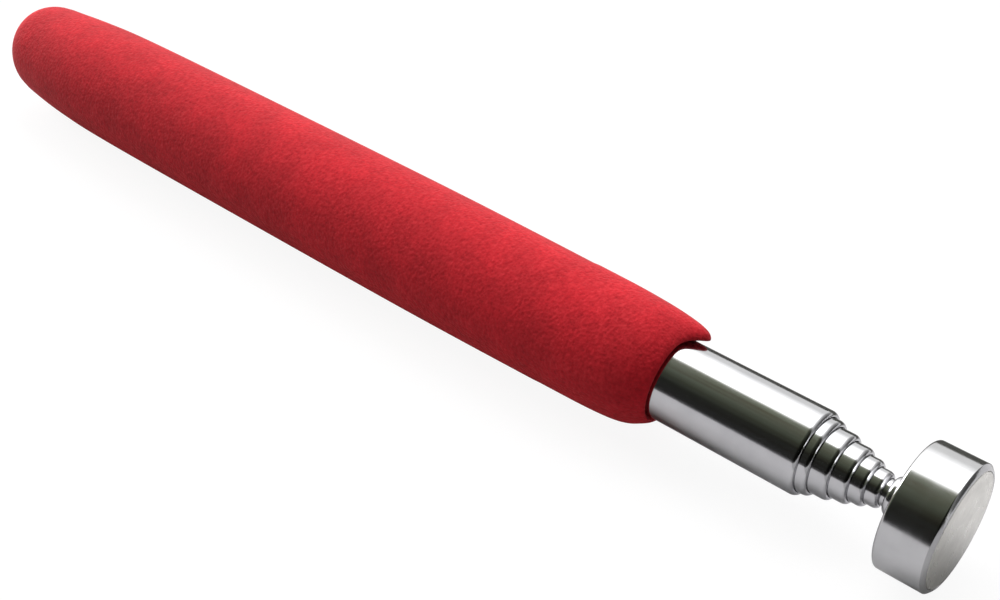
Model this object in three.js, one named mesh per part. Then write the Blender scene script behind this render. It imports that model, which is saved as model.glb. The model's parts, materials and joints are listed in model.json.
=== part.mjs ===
// Telescopic magnetic pick-up tool, collapsed: a foam-covered barrel, five chromed tubes and a
// tip rod that slide out of one another, and a magnet in a steel cup on the rod's end.
// Millimetres. The tool lies along X with its magnet towards +X and rests on z = 0.
// Inside this file x is counted from the barrel's mouth: + towards the magnet, - into the grip.
import * as THREE from "three";

// ---- driving dimensions ----
const BARREL_RADIUS = 6.0;
const RADIUS_STEP = 0.69; // each section is this much smaller in radius than the one around it
const WALL = 0.35;
const SECTION_MOUTHS = [1.45, 3.95, 6.3, 8.2, 9.95]; // collapsed, sections 1 to 5
const TAIL_END = -105.0; // every section's rear end when collapsed

const LIP_LENGTH = 1.2; // rolled-in mouth of a tube
const LIP_GAP = 0.08;
const FLANGE_HEIGHT = 0.24; // flared rear end of a section
const FLANGE_LENGTH = 0.8;
const SLEEVE_LENGTH = 6.0; // split spring sleeve round a section's tail
const SLEEVE_INNER_GAP = 0.04;
const SLEEVE_OUTER = 0.28;
const SLEEVE_SPLIT_STEPS = 2; // facets left out for the split
const SLEEVE_PLAY = 0.2;
const BEAD_HEIGHT = 0.2; // rolled bead that keeps the sleeve on
const BEAD_LENGTH = 0.7;

const GRIP_REAR = -169.7;
const GRIP_FRONT = -21.4;
const GRIP_RADIUS = 9.8;
const GRIP_BORE = 6.15;
const GRIP_BORE_END = -141.4;
const CAP_LENGTH = 8.0; // rounded rear end
const CAP_RADIUS = 8.05;
const FRONT_ROUND_LENGTH = 5.4;
const FRONT_SHOULDER = 8.75;
const FRONT_LIP_RADIUS = 6.9;

const BARREL_REAR = -140.0;
const PLUG_FRONT = -105.2;
const PLUG_RADIUS = 5.6;
const PLUG_HEAD_THICKNESS = 1.0;

const COLLAR_REAR = 10.55;
const COLLAR_FRONT = 12.9;
const COLLAR_RADIUS = 2.65;
const COLLAR_BORE = 1.92;
const COLLAR_ROUND = 0.45;

const CUP_REAR = 12.95;
const CUP_FRONT = 19.95;
const CUP_RADIUS = 8.85;
const CUP_BORE = 8.05;
const CUP_FLOOR = 1.2;
const CUP_HOLE = 1.0;
const CUP_REAR_ROUND = 0.4;
const CUP_CHAMFER = 0.4;
const MAGNET_FRONT = 20.0;
const MAGNET_RADIUS = 8.0;
const MAGNET_THICKNESS = 4.72;
const MAGNET_CHAMFER = 0.15;
const EPOXY_THICKNESS = 1.07;
const SEAT_GAP = 0.03; // between pieces that bear on each other

const SCREW_HEAD_RADIUS = 2.1;
const SCREW_HEAD_THICKNESS = 0.9;
const SCREW_RADIUS = 0.8;
const SCREW_END = 8.0;
const TAPPED_HOLE_RADIUS = 0.85;
const TAPPED_HOLE_END = 7.5;

const SIDES = 32;
const GRIP_SIDES = 24;
const SCREW_SIDES = 16;
const ARC_STEPS = 5;

// ---- materials ----
const chrome = () => new THREE.MeshStandardMaterial({ color: 0xd9dadf, roughness: 0.12, metalness: 1 });
const foam = () => new THREE.MeshStandardMaterial({ color: 0xc9303a, roughness: 0.95, metalness: 0 });
const brass = () => new THREE.MeshStandardMaterial({ color: 0xb99a55, roughness: 0.35, metalness: 1 });
const nylon = () => new THREE.MeshStandardMaterial({ color: 0x2b2b2d, roughness: 0.6, metalness: 0 });
const epoxy = () => new THREE.MeshStandardMaterial({ color: 0x4c4a44, roughness: 0.5, metalness: 0 });
const nickel = () => new THREE.MeshStandardMaterial({ color: 0xc9c6bf, roughness: 0.4, metalness: 1 });
const zincSteel = () => new THREE.MeshStandardMaterial({ color: 0xa9abad, roughness: 0.4, metalness: 1 });

// ---- helpers ----
const tool = new THREE.Group();
tool.position.set(-(GRIP_REAR + MAGNET_FRONT) / 2, 0, GRIP_RADIUS);

// Radius of a prism's corners when its flat sides touch a circle of radius r.
const cornerRadius = (r, sides) => r / Math.cos(Math.PI / sides);

// Turns [x, r] points about the X axis, with one flat side facing straight down.
function revolve(points, sides = SIDES) {
  const outline = points.map(([x, r]) => new THREE.Vector2(cornerRadius(r, sides), x));
  const geometry = new THREE.LatheGeometry(outline, sides, Math.PI / sides);
  return geometry.rotateZ(-Math.PI / 2);
}

// A ring-shaped piece: its outline closes on itself.
const revolveRing = (points, sides = SIDES) => revolve([...points, points[0]], sides);

// [x, r] points on a quarter ellipse from one end to the other, both ends included.
function quarterArc(centreX, centreR, halfLength, halfHeight, fromDeg, toDeg, steps = ARC_STEPS) {
  return Array.from({ length: steps + 1 }, (_, i) => {
    const angle = THREE.MathUtils.degToRad(fromDeg + ((toDeg - fromDeg) * i) / steps);
    return [centreX + halfLength * Math.cos(angle), centreR + halfHeight * Math.sin(angle)];
  });
}

function add(name, geometry, material) {
  const mesh = new THREE.Mesh(geometry, material);
  mesh.name = name;
  tool.add(mesh);
}

// ---- grip ----
function gripOutline() {
  const capCentre = GRIP_REAR + CAP_LENGTH;
  const shoulderX = GRIP_FRONT - FRONT_ROUND_LENGTH;
  const cap = quarterArc(capCentre, 0, CAP_LENGTH, CAP_RADIUS, 180, 100, 7);
  cap[0][1] = 0;
  const swell = new THREE.SplineCurve([
    new THREE.Vector2(capCentre, 8.2),
    new THREE.Vector2(-150, 9.25),
    new THREE.Vector2(-139, 9.68),
    new THREE.Vector2(-105, GRIP_RADIUS),
    new THREE.Vector2(-66, 9.65),
    new THREE.Vector2(-38, 9.2),
    new THREE.Vector2(shoulderX, FRONT_SHOULDER),
  ]);
  const body = swell.getPoints(18).map((p) => [p.x, Math.min(p.y, GRIP_RADIUS)]);
  const front = quarterArc(
    shoulderX, FRONT_LIP_RADIUS, FRONT_ROUND_LENGTH, FRONT_SHOULDER - FRONT_LIP_RADIUS, 75, 0,
  );
  const lip = [[GRIP_FRONT - 0.25, GRIP_BORE]];
  const bore = [[GRIP_BORE_END, GRIP_BORE], [GRIP_BORE_END, 0]];
  return [...cap, ...body, ...front, ...lip, ...bore];
}

add("foam_grip", revolve(gripOutline(), GRIP_SIDES), foam());

// ---- barrel ----
const sectionRadius = (k) => BARREL_RADIUS - RADIUS_STEP * k;

// Rounded mouth of a tube, from its outside to the bore behind the rolled-in lip.
function mouthOutline(mouth, radius) {
  const lipRadius = radius - RADIUS_STEP + LIP_GAP;
  const edge = 0.25;
  return [
    ...quarterArc(mouth - edge, radius - edge, edge, edge, 90, 0, 3),
    [mouth, lipRadius],
    [mouth - LIP_LENGTH, lipRadius],
    [mouth - LIP_LENGTH, radius - WALL],
  ];
}

add(
  "barrel_tube",
  revolveRing([
    [BARREL_REAR, BARREL_RADIUS],
    ...mouthOutline(0, BARREL_RADIUS),
    [BARREL_REAR, BARREL_RADIUS - WALL],
  ]),
  chrome(),
);

add(
  "barrel_rear_plug",
  revolve([
    [BARREL_REAR - PLUG_HEAD_THICKNESS, 0],
    [BARREL_REAR - PLUG_HEAD_THICKNESS, BARREL_RADIUS],
    [BARREL_REAR - SEAT_GAP, BARREL_RADIUS],
    [BARREL_REAR - SEAT_GAP, PLUG_RADIUS],
    [PLUG_FRONT - 0.5, PLUG_RADIUS],
    [PLUG_FRONT, PLUG_RADIUS - 0.5],
    [PLUG_FRONT, 0],
  ]),
  nylon(),
);

// ---- sliding sections ----
const grooveStart = TAIL_END + FLANGE_LENGTH;
const grooveEnd = grooveStart + SLEEVE_LENGTH + 2 * SLEEVE_PLAY;
const beadEnd = grooveEnd + BEAD_LENGTH;

// Outside of a section's tail: flared end, groove for the spring sleeve, rolled bead.
const tailOutline = (radius) => [
  [TAIL_END, radius + FLANGE_HEIGHT],
  [grooveStart, radius + FLANGE_HEIGHT],
  [grooveStart, radius],
  [grooveEnd, radius],
  [grooveEnd, radius + BEAD_HEIGHT],
  [beadEnd - 0.2, radius + BEAD_HEIGHT],
  [beadEnd, radius],
];

function sectionTube(k) {
  const radius = sectionRadius(k);
  return revolveRing([
    ...tailOutline(radius),
    ...mouthOutline(SECTION_MOUTHS[k - 1], radius),
    [TAIL_END, radius - WALL],
  ]);
}

// Split sleeve of spring brass: a C-shaped strip bent round the tail, as long as its groove.
function springSleeve(radius) {
  const inner = cornerRadius(radius + SLEEVE_INNER_GAP, SIDES);
  const outer = cornerRadius(radius + SLEEVE_OUTER, SIDES);
  const corner = (r, i) => {
    const angle = ((2 * i + 1) * Math.PI) / SIDES;
    return new THREE.Vector2(r * Math.cos(angle), r * Math.sin(angle));
  };
  const steps = Array.from({ length: SIDES - SLEEVE_SPLIT_STEPS + 1 }, (_, i) => i);
  const outside = steps.map((i) => corner(outer, i));
  const inside = steps.map((i) => corner(inner, i)).reverse();
  const shape = new THREE.Shape([...outside, ...inside]);
  const geometry = new THREE.ExtrudeGeometry(shape, { depth: SLEEVE_LENGTH, bevelEnabled: false });
  return geometry.rotateY(Math.PI / 2).translate(grooveStart + SLEEVE_PLAY, 0, 0);
}

for (let k = 1; k <= SECTION_MOUTHS.length; k++) {
  add(`section_${k}_tube`, sectionTube(k), chrome());
  add(`section_${k}_spring_sleeve`, springSleeve(sectionRadius(k)), brass());
}

// ---- tip rod ----
const rodRadius = sectionRadius(SECTION_MOUTHS.length + 1);
const rodEnd = COLLAR_FRONT - SEAT_GAP;

add(
  "tip_rod",
  revolve([
    [TAIL_END, 0],
    ...tailOutline(rodRadius),
    [rodEnd, rodRadius],
    [rodEnd, TAPPED_HOLE_RADIUS],
    [TAPPED_HOLE_END, TAPPED_HOLE_RADIUS],
    [TAPPED_HOLE_END, 0],
  ]),
  chrome(),
);
add("tip_rod_spring_sleeve", springSleeve(rodRadius), brass());

// ---- head ----
const collarArcRadius = COLLAR_RADIUS - COLLAR_ROUND;
add(
  "neck_collar",
  revolveRing([
    [COLLAR_REAR, COLLAR_BORE],
    ...quarterArc(COLLAR_REAR + COLLAR_ROUND, collarArcRadius, COLLAR_ROUND, COLLAR_ROUND, 180, 90, 3),
    ...quarterArc(COLLAR_FRONT - COLLAR_ROUND, collarArcRadius, COLLAR_ROUND, COLLAR_ROUND, 90, 0, 3),
    [COLLAR_FRONT, COLLAR_BORE],
  ]),
  chrome(),
);

const cupFloorFront = CUP_REAR + CUP_FLOOR;
const cupArcRadius = CUP_RADIUS - CUP_REAR_ROUND;
add(
  "magnet_cup",
  revolveRing([
    [CUP_REAR, CUP_HOLE],
    ...quarterArc(CUP_REAR + CUP_REAR_ROUND, cupArcRadius, CUP_REAR_ROUND, CUP_REAR_ROUND, 180, 90, 3),
    [CUP_FRONT - CUP_CHAMFER, CUP_RADIUS],
    [CUP_FRONT, CUP_RADIUS - CUP_CHAMFER],
    [CUP_FRONT, CUP_BORE],
    [cupFloorFront, CUP_BORE],
    [cupFloorFront, CUP_HOLE],
  ]),
  chrome(),
);

const headSeat = cupFloorFront + SEAT_GAP;
add(
  "cup_screw",
  revolve(
    [
      [SCREW_END, 0],
      [SCREW_END, SCREW_RADIUS],
      [headSeat, SCREW_RADIUS],
      [headSeat, SCREW_HEAD_RADIUS],
      [headSeat + SCREW_HEAD_THICKNESS / 2, SCREW_HEAD_RADIUS],
      [headSeat + SCREW_HEAD_THICKNESS, SCREW_HEAD_RADIUS / 2],
      [headSeat + SCREW_HEAD_THICKNESS, 0],
    ],
    SCREW_SIDES,
  ),
  zincSteel(),
);

const epoxyHole = SCREW_HEAD_RADIUS + 0.3;
add(
  "epoxy_bed",
  revolveRing([
    [headSeat, epoxyHole],
    [headSeat, MAGNET_RADIUS],
    [headSeat + EPOXY_THICKNESS, MAGNET_RADIUS],
    [headSeat + EPOXY_THICKNESS, epoxyHole],
  ]),
  epoxy(),
);

const magnetRear = MAGNET_FRONT - MAGNET_THICKNESS;
add(
  "magnet_disc",
  revolve([
    [magnetRear, 0],
    [magnetRear, MAGNET_RADIUS],
    [MAGNET_FRONT - MAGNET_CHAMFER, MAGNET_RADIUS],
    [MAGNET_FRONT, MAGNET_RADIUS - MAGNET_CHAMFER],
    [MAGNET_FRONT, 0],
  ]),
  nickel(),
);

export default tool;
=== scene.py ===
"""Telescopic magnetic pick-up tool, collapsed, lying on a pale floor.

Every piece is a smooth surface of revolution, or close to one, about the tool's axis, built round the
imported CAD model, in its frame: +X towards the magnet, +Z up. The pieces' own lengths are in
millimetres, with x counted from the barrel's mouth, and skin() turns them into metres. The stage is in
metres.
"""

import json
import math

import bmesh
import bpy
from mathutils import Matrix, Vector

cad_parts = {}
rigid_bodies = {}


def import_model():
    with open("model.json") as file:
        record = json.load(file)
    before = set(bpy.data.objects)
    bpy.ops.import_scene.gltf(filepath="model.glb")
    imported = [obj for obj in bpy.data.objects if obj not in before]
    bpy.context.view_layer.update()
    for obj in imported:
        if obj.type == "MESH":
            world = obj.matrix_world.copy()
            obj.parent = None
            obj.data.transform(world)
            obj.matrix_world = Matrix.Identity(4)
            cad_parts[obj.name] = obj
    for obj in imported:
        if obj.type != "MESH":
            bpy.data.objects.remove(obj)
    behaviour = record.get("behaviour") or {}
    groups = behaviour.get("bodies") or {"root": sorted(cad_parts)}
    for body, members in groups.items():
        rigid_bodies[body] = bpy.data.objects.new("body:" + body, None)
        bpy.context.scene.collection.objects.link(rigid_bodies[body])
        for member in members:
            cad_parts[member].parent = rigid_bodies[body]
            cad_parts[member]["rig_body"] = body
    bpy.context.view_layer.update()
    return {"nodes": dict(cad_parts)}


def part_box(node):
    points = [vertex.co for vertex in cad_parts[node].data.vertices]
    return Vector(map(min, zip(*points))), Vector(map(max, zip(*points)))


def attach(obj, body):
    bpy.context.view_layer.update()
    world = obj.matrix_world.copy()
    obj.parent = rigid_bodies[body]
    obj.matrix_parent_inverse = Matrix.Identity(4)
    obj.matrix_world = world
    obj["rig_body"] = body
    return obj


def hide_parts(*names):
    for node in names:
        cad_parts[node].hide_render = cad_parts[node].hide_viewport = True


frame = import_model()

MM = 0.001
SEGMENTS = 128
SECTIONS = 5

# ---- dimensions that the CAD doesn't give as a box, in mm ----
RADIUS_STEP = 0.69
WALL = 0.35
LIP_LENGTH = 1.2
LIP_GAP = 0.08
MOUTH_ROUND_LENGTH = 0.75
MOUTH_ROUND_HEIGHT = 0.5
FLANGE_LENGTH = 0.8
FLANGE_HEIGHT = 0.24
GROOVE_LENGTH = 6.4
GROOVE_SLOPE = 0.1
BEAD_LENGTH = 0.7
BEAD_HEIGHT = 0.2
TAPPED_HOLE_RADIUS = 0.85
TAPPED_HOLE_DEPTH = 5.4
COLLAR_BORE = 1.92
COLLAR_ROUND = 0.6
CUP_WALL = 0.8
CUP_FLOOR = 1.2
CUP_HOLE = 1.0
CUP_REAR_ROUND = 0.45
CUP_CHAMFER = 0.45
CUP_CHAMFER_ROUND = 0.12
CUP_INNER_EDGE = 0.05
MAGNET_ROUND = 0.15
GRIP_BORE = 6.1
GRIP_BORE_BEYOND_BARREL = 1.4

# ---- where things are, from the frame ----
barrel_low, barrel_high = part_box("barrel_tube")
AXIS_Z = (barrel_low.z + barrel_high.z) / 2
MOUTH_X = barrel_high.x


def span(node):
    """Rear and front end of a CAD node along X, and the radius of its flat sides, in mm."""
    low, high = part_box(node)
    return (low.x - MOUTH_X) / MM, (high.x - MOUTH_X) / MM, (high.z - AXIS_Z) / MM


# ---- outlines ----
def arc(centre_x, centre_r, half_length, half_height, start, end, steps=8):
    """Points (x, r) on an ellipse's arc, both ends included; the angles are in degrees."""
    angles = (math.radians(start + (end - start) * i / steps) for i in range(steps + 1))
    return [(centre_x + half_length * math.cos(a), centre_r + half_height * math.sin(a)) for a in angles]


def spline(a, b, c, d, t):
    """Catmull-Rom: from b at t = 0 to c at t = 1, with a before them and d after them."""
    square = (2 * a - 5 * b + 4 * c - d) * t**2
    cube = (3 * b - a - 3 * c + d) * t**3
    return 0.5 * (2 * b + (c - a) * t + square + cube)


def through(points, steps=6):
    """A smooth curve through the points, with steps between each two."""
    ends = [points[0], *points, points[-1]]
    curve = []
    for around in zip(ends, ends[1:], ends[2:], ends[3:]):
        for i in range(steps):
            curve.append(tuple(spline(*values, i / steps) for values in zip(*around)))
    return [*curve, points[-1]]


# ---- meshes ----
def skin(name, rings, closed):
    """A mesh over rings of (x, y, z) points in mm; a ring of one point is a tip."""
    mesh = bpy.data.meshes.new(name)
    work = bmesh.new()
    rows = []
    for ring in rings:
        places = [(MOUTH_X + x * MM, y * MM, AXIS_Z + z * MM) for x, y, z in ring]
        rows.append([work.verts.new(place) for place in places])
    pairs = list(zip(rows, rows[1:]))
    if closed:
        pairs.append((rows[-1], rows[0]))
    for rear, front in pairs:
        for i in range(max(len(rear), len(front))):
            behind = [rear[i % len(rear)], rear[(i + 1) % len(rear)]]
            ahead = [front[(i + 1) % len(front)], front[i % len(front)]]
            work.faces.new(list(dict.fromkeys(behind + ahead)))
    bmesh.ops.recalc_face_normals(work, faces=work.faces)
    work.to_mesh(mesh)
    work.free()
    piece = bpy.data.objects.new(name, mesh)
    bpy.context.scene.collection.objects.link(piece)
    return piece


def smooth(piece, sharp_over=35):
    """Smooth shading, with a crease wherever two faces meet at more than this many degrees."""
    piece.data.shade_smooth()
    piece.data.set_sharp_from_angle(angle=math.radians(sharp_over))
    return piece


def revolve(name, outline, closed=False):
    """Turns (x, r) points about the tool's axis. A closed outline makes a ring."""
    turns = [2 * math.pi * i / SEGMENTS for i in range(SEGMENTS)]
    rings = []
    for x, r in outline:
        if r == 0:
            rings.append([(x, 0, 0)])
        else:
            rings.append([(x, r * math.cos(turn), r * math.sin(turn)) for turn in turns])
    return smooth(skin(name, rings, closed))


def finish_piece(piece, node, material):
    """Gives the piece its material and lets it stand for its CAD node, on that node's body."""
    piece.data.materials.append(material)
    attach(piece, frame["nodes"][node]["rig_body"])
    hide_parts(node)


# ---- materials ----
def add_node(tree, kind, inputs=None, **settings):
    """A shader node. An input is a socket to link from, or the value to set."""
    made = tree.nodes.new(kind)
    for key, value in settings.items():
        setattr(made, key, value)
    for key, value in (inputs or {}).items():
        if isinstance(value, bpy.types.NodeSocket):
            tree.links.new(value, made.inputs[key])
        else:
            made.inputs[key].default_value = value
    return made


def new_material(name):
    """(material, its node tree, its Principled shader)."""
    made = bpy.data.materials.new(name)
    made.use_nodes = True
    return made, made.node_tree, made.node_tree.nodes["Principled BSDF"]


def object_place(tree, scale=(1, 1, 1)):
    coords = add_node(tree, "ShaderNodeTexCoord")
    mapping = add_node(tree, "ShaderNodeMapping", {"Vector": coords.outputs["Object"], "Scale": scale})
    return mapping.outputs["Vector"]


def noise_at(tree, place, scale, detail=3.0, roughness=0.55):
    inputs = {"Vector": place, "Scale": scale, "Detail": detail, "Roughness": roughness}
    return add_node(tree, "ShaderNodeTexNoise", inputs).outputs["Fac"]


def ramp(tree, fac, *stops):
    """A colour ramp; each stop is (position, colour), and a colour may be one grey number."""
    made = add_node(tree, "ShaderNodeValToRGB", {"Fac": fac})
    elements = made.color_ramp.elements
    while len(elements) < len(stops):
        elements.new(1.0)
    for element, (position, colour) in zip(elements, stops):
        if isinstance(colour, (int, float)):
            colour = (colour, colour, colour)
        element.position = position
        element.color = (*colour, 1.0)
    return made.outputs["Color"]


def mix(tree, fac, first, second, blend_type="MIX"):
    made = add_node(tree, "ShaderNodeMix", data_type="RGBA", blend_type=blend_type)
    for socket, value in ((made.inputs[0], fac), (made.inputs[6], first), (made.inputs[7], second)):
        if isinstance(value, bpy.types.NodeSocket):
            tree.links.new(value, socket)
        else:
            socket.default_value = value if isinstance(value, (int, float)) else (*value, 1.0)
    return made.outputs[2]


def bump(tree, height, distance, strength=1.0, normal=None):
    inputs = {"Height": height, "Distance": distance, "Strength": strength}
    if normal is not None:
        inputs["Normal"] = normal
    return add_node(tree, "ShaderNodeBump", inputs).outputs["Normal"]


def between(tree, value, low, high):
    """0 at low and before it, 1 at high and past it."""
    made = add_node(tree, "ShaderNodeMapRange", {"Value": value, "From Min": low, "From Max": high})
    return made.outputs["Result"]


def math_node(tree, operation, first, second):
    return add_node(tree, "ShaderNodeMath", {0: first, 1: second}, operation=operation).outputs[0]


FOAM_CLOUDS = 160  # noise scales, per metre
FOAM_GRAIN = 1500
FOAM_PORES = 2100.0
FOAM_REDS = ((0.3, (0.56, 0.009, 0.02)), (0.5, (0.7, 0.012, 0.025)), (0.72, (0.79, 0.02, 0.035)))


def foam_material():
    """Closed-cell foam: matte red, finely pored, with faint clouds where its skin is denser."""
    made, tree, shader = new_material("red_foam")
    place = object_place(tree)
    clouds = noise_at(tree, place, FOAM_CLOUDS, 3.0)
    grain = noise_at(tree, place, FOAM_GRAIN, 4.0, 0.65)
    pore_inputs = {"Vector": place, "Scale": FOAM_PORES, "Randomness": 1.0}
    pores = add_node(tree, "ShaderNodeTexVoronoi", pore_inputs).outputs["Distance"]
    base = ramp(tree, grain, *FOAM_REDS)
    cloudy = mix(tree, 0.45, base, ramp(tree, clouds, (0.35, 0.62), (0.65, 1.0)), "MULTIPLY")
    pore_shade = ramp(tree, pores, (0.0, 0.55), (0.28, 1.0))
    tree.links.new(mix(tree, 0.5, cloudy, pore_shade, "MULTIPLY"), shader.inputs["Base Color"])
    tree.links.new(ramp(tree, grain, (0.3, 0.95), (0.7, 0.78)), shader.inputs["Roughness"])
    shader.inputs["Sheen Weight"].default_value = 0.11
    shader.inputs["Sheen Roughness"].default_value = 0.5
    shader.inputs["Sheen Tint"].default_value = (1.0, 0.72, 0.72, 1.0)
    shader.inputs["IOR"].default_value = 1.34
    soft = bump(tree, clouds, 0.3 * MM, 0.5)
    pitted = bump(tree, pores, 0.12 * MM, 0.6, soft)
    tree.links.new(bump(tree, grain, 0.08 * MM, 0.6, pitted), shader.inputs["Normal"])
    return made


BLOTCH_SCALE = 260  # noise scales, per metre
NICKEL_BLOTCH_SCALE = 420
WAVE_SCALE = 260
WAVE_HEIGHT = 0.008

# Material's name, colour, duller colour, roughness, scale of the streaks, their height in mm, scale of the
# blotches.
METALS = {
    "chrome": (
        "drawn_chrome", (0.58, 0.58, 0.6), (0.52, 0.52, 0.54), (0.09, 0.16),
        (30, 1400, 1400), 0.0006, BLOTCH_SCALE,
    ),
    "turned": (
        "turned_chrome", (0.57, 0.57, 0.585), (0.51, 0.51, 0.525), (0.1, 0.19),
        (2600, 90, 90), 0.0015, BLOTCH_SCALE,
    ),
    "nickel": (
        "nickel_plating", (0.8, 0.79, 0.75), (0.68, 0.67, 0.64), (0.22, 0.4),
        (400, 2600, 500), 0.004, NICKEL_BLOTCH_SCALE,
    ),
    "brass": (
        "spring_brass", (0.55, 0.40, 0.16), (0.42, 0.30, 0.12), (0.2, 0.38),
        (60, 1500, 1500), 0.002, BLOTCH_SCALE,
    ),
    "zinc": (
        "zinc_plated_steel", (0.50, 0.50, 0.50), (0.40, 0.41, 0.43), (0.25, 0.45),
        (2200, 200, 200), 0.003, BLOTCH_SCALE,
    ),
}
# Material's name, colour, paler colour, roughness, scale of the grain.
PLASTICS = {
    "nylon": ("black_nylon", (0.018, 0.018, 0.02), (0.035, 0.035, 0.037), (0.4, 0.6), 900),
    "epoxy": ("cast_epoxy", (0.05, 0.045, 0.036), (0.09, 0.08, 0.065), (0.2, 0.45), 500),
}


def metal_material(name, colour, dull_colour, roughness, streak_scale, streak_height, blotch_scale):
    """Plated metal: faint streaks where it was drawn or turned, and small changes in how polished it is."""
    made, tree, shader = new_material(name)
    shader.inputs["Metallic"].default_value = 1.0
    streaks = noise_at(tree, object_place(tree, streak_scale), 1.0, 5.0, 0.6)
    blotches = noise_at(tree, object_place(tree), blotch_scale, 4.0, 0.6)
    low, high = roughness
    dullness = ramp(tree, blotches, (0.35, 0.0), (0.75, 1.0))
    tree.links.new(mix(tree, dullness, colour, dull_colour), shader.inputs["Base Color"])
    streaked = ramp(tree, streaks, (0.3, low), (0.7, high))
    blotched = ramp(tree, blotches, (0.3, low), (0.7, high))
    tree.links.new(mix(tree, 0.5, streaked, blotched), shader.inputs["Roughness"])
    waves = bump(tree, noise_at(tree, object_place(tree), WAVE_SCALE, 1.0), WAVE_HEIGHT * MM)
    tree.links.new(bump(tree, streaks, streak_height * MM, 1.0, waves), shader.inputs["Normal"])
    return made


def plastic_material(name, colour, pale_colour, roughness, scale):
    """Moulded or cast plastic with a fine, uneven surface."""
    made, tree, shader = new_material(name)
    grain = noise_at(tree, object_place(tree), scale, 5.0, 0.6)
    paleness = ramp(tree, grain, (0.35, 0.0), (0.7, 1.0))
    tree.links.new(mix(tree, paleness, colour, pale_colour), shader.inputs["Base Color"])
    low, high = roughness
    tree.links.new(ramp(tree, grain, (0.3, low), (0.7, high)), shader.inputs["Roughness"])
    tree.links.new(bump(tree, grain, 0.02 * MM, 0.5), shader.inputs["Normal"])
    return made


def build_materials():
    materials = {"foam": foam_material()}
    for kind, look in METALS.items():
        materials[kind] = metal_material(*look)
    for kind, look in PLASTICS.items():
        materials[kind] = plastic_material(*look)
    return materials


# ---- grip ----
GRIP_REAR = span("foam_grip")[0]
REAR_CAP_LENGTH = 8.0
REAR_CAP_RADIUS = 8.3
REAR_HIGH_SIDE = math.radians(44)
REAR_SHIFT = 1.1  # how far the foam's closed end sits towards that side
REAR_SHIFT_FADE = 4.3
# (x, r) along the foam, then over its front edge where that edge reaches least and most.
SWELL = (
    (GRIP_REAR + REAR_CAP_LENGTH, 8.4), (-152, 9.25), (-139, 9.7), (-105, 9.78), (-66, 9.7), (-40, 9.32),
)
LOW_LIP = (
    (-40, 9.26), (-33.5, 9.12), (-29.5, 8.92), (-27.1, 8.62), (-25.5, 8.15), (-24.3, 7.5), (-23.4, 6.95),
    (-22.95, 6.5), (-23.05, 6.22), (-23.5, GRIP_BORE),
)
HIGH_LIP = (
    (-40, 9.4), (-33.5, 9.28), (-29.5, 9.1), (-26.6, 8.9), (-24.0, 8.6), (-22.0, 8.22), (-20.7, 7.75),
    (-20.1, 7.1), (-20.4, 6.65), (-21.9, GRIP_BORE),
)
# What shapes the cut edge: how far it reaches, the turn round the axis and the width, both in degrees.
EDGE_SLANT = (0.38, 110)
EDGE_TONGUE = (0.85, 54, 22)
EDGE_DIP = (-0.85, 6, 26)


def lip_share(turn):
    """How far the foam's edge reaches at a turn round the axis: 0 is LOW_LIP, 1 is HIGH_LIP."""
    size, side = EDGE_SLANT
    share = size * (0.5 + 0.5 * math.cos(turn - math.radians(side)))
    for size, side, width in (EDGE_TONGUE, EDGE_DIP):
        off = (math.degrees(turn) - side + 180) % 360 - 180
        share += size * math.exp(-((off / width) ** 2))
    return share


def grip_ring(low, high, turns):
    """A ring of the grip whose (x, r) lies between low and high, by lip_share."""
    ring = []
    for turn in turns:
        share = lip_share(turn)
        x, r = (a + (b - a) * share for a, b in zip(low, high))
        ring.append((x, r * math.cos(turn), r * math.sin(turn)))
    return ring


def build_grip(material):
    """The foam's outside from its closed end, over the front edge, and back along its bore."""
    turns = [2 * math.pi * i / SEGMENTS for i in range(SEGMENTS)]
    cap = arc(GRIP_REAR + REAR_CAP_LENGTH, 0, REAR_CAP_LENGTH, REAR_CAP_RADIUS, 176, 104, 18)
    body = [*cap, *through(SWELL, 12)[:-1]]
    outside = [[(GRIP_REAR, 0, 0)]]
    outside += [grip_ring(point, point, turns) for point in body]
    outside += [grip_ring(low, high, turns) for low, high in zip(through(LOW_LIP), through(HIGH_LIP))]
    shift_y, shift_z = math.cos(REAR_HIGH_SIDE), math.sin(REAR_HIGH_SIDE)
    rings = []
    for ring in outside:
        shift = REAR_SHIFT * math.exp((GRIP_REAR - ring[0][0]) / REAR_SHIFT_FADE)
        rings.append([(x, y + shift * shift_y, z + shift * shift_z) for x, y, z in ring])
    bore_end = (span("barrel_tube")[0] - GRIP_BORE_BEYOND_BARREL, GRIP_BORE)
    rings.append(grip_ring(bore_end, bore_end, turns))
    rings.append([(bore_end[0], 0, 0)])
    grip = smooth(skin("grip_sleeve", rings, closed=False), sharp_over=60)
    finish_piece(grip, "foam_grip", material)


# ---- tubes ----
def tail(rear, radius):
    """Outside of a section's rear end: flare, groove for the spring sleeve, rolled bead."""
    groove = rear + FLANGE_LENGTH
    bead = groove + GROOVE_LENGTH
    return [
        (rear, radius + FLANGE_HEIGHT),
        (groove, radius + FLANGE_HEIGHT),
        (groove + GROOVE_SLOPE, radius),
        *arc(bead + BEAD_LENGTH / 2, radius, BEAD_LENGTH / 2, BEAD_HEIGHT, 180, 0, 6),
    ]


def mouth(front, radius):
    """Swaged mouth of a tube, from its outside to the bore behind the rolled-in lip."""
    lip = radius - RADIUS_STEP + LIP_GAP
    round_x = front - MOUTH_ROUND_LENGTH
    round_r = radius - MOUTH_ROUND_HEIGHT
    return [
        *arc(round_x, round_r, MOUTH_ROUND_LENGTH, MOUTH_ROUND_HEIGHT, 90, 0, 12),
        (front, lip),
        (front - LIP_LENGTH, lip),
        (front - LIP_LENGTH, radius - WALL),
    ]


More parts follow.
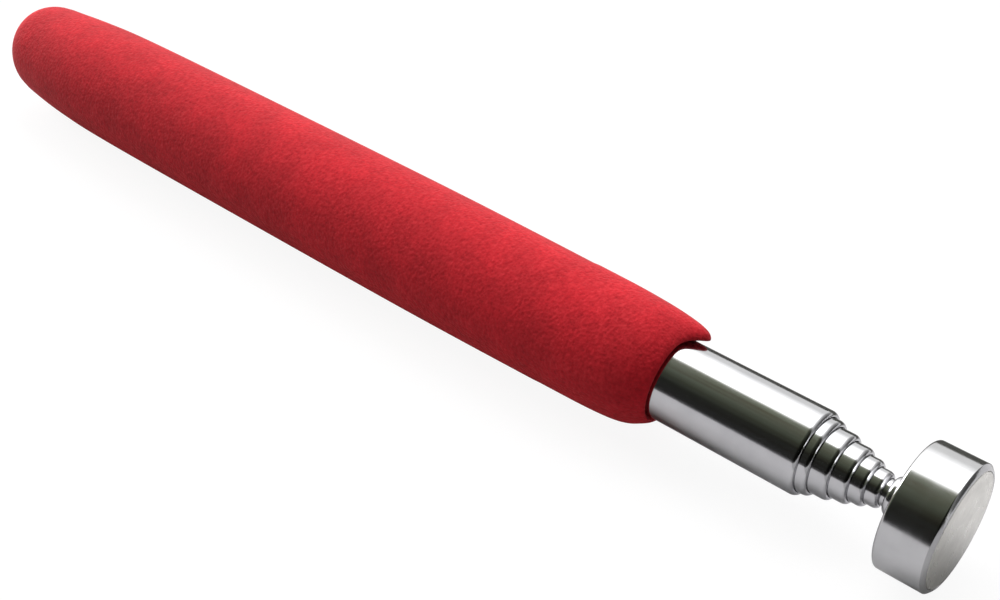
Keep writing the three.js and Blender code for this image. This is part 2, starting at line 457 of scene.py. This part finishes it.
def build_tubes(material):
    """The barrel, the five sections and the tip rod."""
    rear, front, radius = span("barrel_tube")
    barrel = revolve("barrel", [(rear, radius), *mouth(front, radius), (rear, radius - WALL)], closed=True)
    finish_piece(barrel, "barrel_tube", material)
    for k in range(1, SECTIONS + 1):
        node = f"section_{k}_tube"
        rear, front, flange_radius = span(node)
        radius = flange_radius - FLANGE_HEIGHT
        outline = [*tail(rear, radius), *mouth(front, radius), (rear, radius - WALL)]
        finish_piece(revolve(f"section_{k}", outline, closed=True), node, material)
    rear, front, flange_radius = span("tip_rod")
    radius = flange_radius - FLANGE_HEIGHT
    outline = [
        (rear, 0.0),
        *tail(rear, radius),
        (front, radius),
        (front, TAPPED_HOLE_RADIUS),
        (front - TAPPED_HOLE_DEPTH, TAPPED_HOLE_RADIUS),
        (front - TAPPED_HOLE_DEPTH, 0.0),
    ]
    finish_piece(revolve("rod", outline), "tip_rod", material)


# ---- head ----
def build_head(materials):
    """The neck collar, the cup and the magnet."""
    rear, front, radius = span("neck_collar")
    flat = radius - COLLAR_ROUND
    outline = [
        (rear, COLLAR_BORE),
        *arc(rear + COLLAR_ROUND, flat, COLLAR_ROUND, COLLAR_ROUND, 180, 90),
        *arc(front - COLLAR_ROUND, flat, COLLAR_ROUND, COLLAR_ROUND, 90, 0),
        (front, COLLAR_BORE),
    ]
    finish_piece(revolve("collar", outline, closed=True), "neck_collar", materials["turned"])

    rear, front, radius = span("magnet_cup")
    bore = radius - CUP_WALL
    # The small offsets ease the chamfer's two corners.
    chamfer = (
        (front - CUP_CHAMFER - CUP_CHAMFER_ROUND, radius),
        (front - CUP_CHAMFER + 0.03, radius - 0.04),
        (front - CUP_CHAMFER_ROUND, radius - CUP_CHAMFER + 0.07),
        (front, radius - CUP_CHAMFER - CUP_CHAMFER_ROUND),
    )
    outline = [
        (rear, CUP_HOLE),
        *arc(rear + CUP_REAR_ROUND, radius - CUP_REAR_ROUND, CUP_REAR_ROUND, CUP_REAR_ROUND, 180, 90),
        *through(chamfer, 4),
        (front, bore + CUP_INNER_EDGE),
        (front - CUP_INNER_EDGE, bore),
        (rear + CUP_FLOOR, bore),
        (rear + CUP_FLOOR, CUP_HOLE),
    ]
    finish_piece(revolve("cup", outline, closed=True), "magnet_cup", materials["turned"])

    rear, front, radius = span("magnet_disc")
    outline = [
        (rear, 0.0),
        (rear, radius - MAGNET_ROUND),
        (rear + MAGNET_ROUND, radius),
        *arc(front - MAGNET_ROUND, radius - MAGNET_ROUND, MAGNET_ROUND, MAGNET_ROUND, 90, 0, 6),
        (front, 0.0),
    ]
    finish_piece(revolve("magnet", outline), "magnet_disc", materials["nickel"])


def paint_hidden_nodes(materials):
    """The pieces inside the barrel and the cup keep their CAD shape."""
    for name, cad in frame["nodes"].items():
        if "sleeve" in name:
            kind = "brass"
        elif name == "barrel_rear_plug":
            kind = "nylon"
        elif name == "epoxy_bed":
            kind = "epoxy"
        elif name == "cup_screw":
            kind = "zinc"
        else:
            continue
        cad.data.materials.clear()
        cad.data.materials.append(materials[kind])


# ---- stage ----
CAMERA_AZIMUTH = math.radians(41.0)
CAMERA_ELEVATION = math.radians(37.94)
CAMERA_FROM_MOUTH = Vector((0.0575, -0.1276, 0.1295))
CAMERA_LENS = 52.4


def build_camera():
    forward = Vector((
        -math.sin(CAMERA_AZIMUTH) * math.cos(CAMERA_ELEVATION),
        math.cos(CAMERA_AZIMUTH) * math.cos(CAMERA_ELEVATION),
        -math.sin(CAMERA_ELEVATION),
    ))
    data = bpy.data.cameras.new("camera")
    data.sensor_width = 36.0
    data.lens = CAMERA_LENS
    data.clip_start = 0.005
    camera = bpy.data.objects.new("camera", data)
    camera.location = Vector((MOUTH_X, 0, AXIS_Z)) + CAMERA_FROM_MOUTH
    camera.rotation_mode = "QUATERNION"
    camera.rotation_quaternion = forward.to_track_quat("-Z", "Y")
    bpy.context.scene.collection.objects.link(camera)
    bpy.context.scene.camera = camera


FLOOR_HALF = 12.0
FLOOR_PALE = ((0.3, (0.7, 0.69, 0.714)), (0.7, (0.725, 0.715, 0.739)))
FLOOR_GRAIN = 30
SHADOW_LIFT = 0.85  # how far the tool's shadow on the floor is lifted to the floor's own white
LIFT_STRENGTH = 1.08
# Painted reflection: to glossy rays the floor behind the tool is painted dark between these distances along
# the ray and along Y, so that the chrome shows a dark band along its top.
REFLECTION_DARK_REACH = (0.022, 0.036)
REFLECTION_DARK_EDGE = (0.008, 0.02)
PAINTED_REFLECTION_DARK = (0.1, 0.1, 0.09)
# In front of the magnet it doesn't. There the floor is painted darker to glossy rays, a painted shade in
# the magnet face's reflection: darker by the amount below up to y = 0, and by nothing from y = FRONT_REACH
# on. The change from the one to the other takes FRONT_FADE along X.
FRONT_PAINTED_SHADE = 0.35
FRONT_REACH = 0.011
FRONT_FADE = 0.001
BOUNCE_LOSS = 0.28  # how much less light the floor throws up on the foam


def floor_painted_darkness(tree, rays):
    """Painted reflection and painted shade: how dark the floor is painted to a ray that doesn't come from
    the camera: 0 as lit, 1 dark.
    """
    position = add_node(tree, "ShaderNodeNewGeometry").outputs["Position"]
    place = add_node(tree, "ShaderNodeSeparateXYZ", {"Vector": position})
    # Painted reflection: the dark band that the chrome sees on the floor behind the tool.
    far = between(tree, rays.outputs["Ray Length"], *REFLECTION_DARK_REACH)
    behind = math_node(tree, "MULTIPLY", far, between(tree, place.outputs["Y"], *REFLECTION_DARK_EDGE))
    magnet_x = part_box("magnet_disc")[1].x
    front = between(tree, place.outputs["X"], magnet_x, magnet_x + FRONT_FADE)
    behind = math_node(tree, "MULTIPLY", behind, math_node(tree, "SUBTRACT", 1.0, front))
    # Painted shade in the magnet face's reflection: the floor just in front of the magnet is darkened for
    # glossy rays.
    painted_front_shade = math_node(tree, "MULTIPLY", between(tree, place.outputs["Y"], FRONT_REACH, 0.0), FRONT_PAINTED_SHADE)
    painted_reflection_dark = math_node(tree, "MAXIMUM", behind, math_node(tree, "MULTIPLY", front, painted_front_shade))
    painted_reflection_dark = math_node(tree, "MULTIPLY", painted_reflection_dark, rays.outputs["Is Glossy Ray"])
    bounced = math_node(tree, "MULTIPLY", rays.outputs["Is Diffuse Ray"], BOUNCE_LOSS)
    return math_node(tree, "MAXIMUM", painted_reflection_dark, bounced)


def build_floor():
    half = FLOOR_HALF
    corners = [(-half, -half, 0), (half, -half, 0), (half, half, 0), (-half, half, 0)]
    mesh = bpy.data.meshes.new("floor")
    mesh.from_pydata(corners, [], [(0, 1, 2, 3)])
    floor = bpy.data.objects.new("floor", mesh)
    bpy.context.scene.collection.objects.link(floor)
    made, tree, shader = new_material("pale_floor")
    paper = noise_at(tree, object_place(tree), FLOOR_GRAIN, 2.0)
    tree.links.new(ramp(tree, paper, *FLOOR_PALE), shader.inputs["Base Color"])
    shader.inputs["Roughness"].default_value = 0.9
    shader.inputs["Specular IOR Level"].default_value = 0.1
    rays = add_node(tree, "ShaderNodeLightPath")
    # Painted reflection and painted shade: the floor is mixed towards a dark emission for rays that aren't
    # the camera's.
    darkness = floor_painted_darkness(tree, rays)
    dark = add_node(tree, "ShaderNodeEmission", {"Color": (*PAINTED_REFLECTION_DARK, 1.0), "Strength": 1.0})
    lit_inputs = {0: darkness, 1: shader.outputs[0], 2: dark.outputs[0]}
    lit = add_node(tree, "ShaderNodeMixShader", lit_inputs)
    share = math_node(tree, "MULTIPLY", rays.outputs["Is Camera Ray"], SHADOW_LIFT)
    white = {"Color": (1.0, 1.0, 1.0, 1.0), "Strength": LIFT_STRENGTH}
    lift = add_node(tree, "ShaderNodeEmission", white)
    seen_inputs = {0: share, 1: lit.outputs[0], 2: lift.outputs[0]}
    seen = add_node(tree, "ShaderNodeMixShader", seen_inputs)
    tree.links.new(seen.outputs[0], tree.nodes["Material Output"].inputs["Surface"])
    mesh.materials.append(made)


BRIGHTNESS = 1.19
# A ramp holds values up to 1, so SKY and ALONG are divided by these and multiplied again.
SKY_SCALE = 4.0
ALONG_SCALE = 2.0
# The surroundings' colour round the tool's axis: degrees from the far horizon over the top to the near
# horizon. A broad softbox stands behind the tool and a dark room in front of it.
SKY = (
    (0, (0.85, 0.85, 0.835)),
    (20, (0.88, 0.88, 0.865)),
    (34, (1.5, 1.5, 1.48)),
    (56, (2.9, 2.9, 2.86)),
    (76, (3.8, 3.8, 3.74)),
    (86, (0.28, 0.3, 0.225)),
    (92, (0.19, 0.21, 0.155)),
    (112, (0.12, 0.138, 0.1)),
    (126, (0.068, 0.078, 0.056)),
    (145, (0.022, 0.024, 0.02)),
    (174, (0.024, 0.024, 0.024)),
    (180, (0.2, 0.2, 0.21)),
)
# How bright they are by the X of the direction: most towards the grip's end, little before the magnet.
ALONG = (
    (-0.64, 1.8), (-0.5, 1.0), (-0.14, 1.0), (-0.04, 0.8), (0.08, 0.4), (0.3, 0.25), (0.5, 0.12),
    (0.98, 0.07), (1.0, 0.45),
)
# Towards the grip's end the softbox reaches this many degrees further over the top, by the same X.
LEAN = 34
LEAN_ALONG = ((-0.62, 1.0), (-0.5, 0.0))
# The dark room isn't even: browner and darker in places. It begins between these two angles.
ROOM_EDGE = (84, 90)
CLUTTER = ((0.38, (0.62, 0.52, 0.46)), (0.5, (0.9, 0.88, 0.85)), (0.64, (1.0, 1.0, 1.0)))
CLUTTER_SCALE = 7.0


def ramp_along(tree, along, stops, scale):
    """The value at the X of a direction, where along is that X from 0 to 1, divided by scale."""
    return ramp(tree, along, *(((x + 1) / 2, value / scale) for x, value in stops))


def build_world():
    """The surroundings that light the tool. The camera itself sees plain white past the floor."""
    world = bpy.data.worlds.new("studio")
    bpy.context.scene.world = world
    world.use_nodes = True
    tree = world.node_tree
    tree.nodes.clear()
    coords = add_node(tree, "ShaderNodeTexCoord")
    way = add_node(tree, "ShaderNodeSeparateXYZ", {"Vector": coords.outputs["Generated"]})
    along = between(tree, way.outputs["X"], -1.0, 1.0)
    angle = math_node(tree, "ARCTAN2", way.outputs["Z"], way.outputs["Y"])
    lean = math_node(tree, "MULTIPLY", ramp_along(tree, along, LEAN_ALONG, 1.0), math.radians(LEAN))
    share = math_node(tree, "DIVIDE", math_node(tree, "SUBTRACT", angle, lean), math.pi)
    stops = [(degrees / 180, tuple(c / SKY_SCALE for c in colour)) for degrees, colour in SKY]
    colour = ramp(tree, share, *stops)
    brightness = ramp_along(tree, along, ALONG, ALONG_SCALE)
    strength = math_node(tree, "MULTIPLY", brightness, SKY_SCALE * ALONG_SCALE * BRIGHTNESS)
    clutter = ramp(tree, noise_at(tree, coords.outputs["Generated"], CLUTTER_SCALE, 3.0), *CLUTTER)
    room = between(tree, share, *(degrees / 180 for degrees in ROOM_EDGE))
    colour = mix(tree, room, colour, mix(tree, 1.0, colour, clutter, "MULTIPLY"))
    sky = add_node(tree, "ShaderNodeBackground", {"Color": colour, "Strength": strength})
    plain = add_node(tree, "ShaderNodeBackground", {"Color": (1.0, 1.0, 1.0, 1.0)})
    from_camera = add_node(tree, "ShaderNodeLightPath").outputs["Is Camera Ray"]
    either_inputs = {0: from_camera, 1: sky.outputs[0], 2: plain.outputs[0]}
    either = add_node(tree, "ShaderNodeMixShader", either_inputs)
    add_node(tree, "ShaderNodeOutputWorld", {"Surface": either.outputs[0]})


def main():
    bpy.context.scene.view_settings.view_transform = "Standard"
    build_camera()
    build_floor()
    build_world()
    materials = build_materials()
    build_grip(materials["foam"])
    build_tubes(materials["chrome"])
    build_head(materials)
    paint_hidden_nodes(materials)


main()
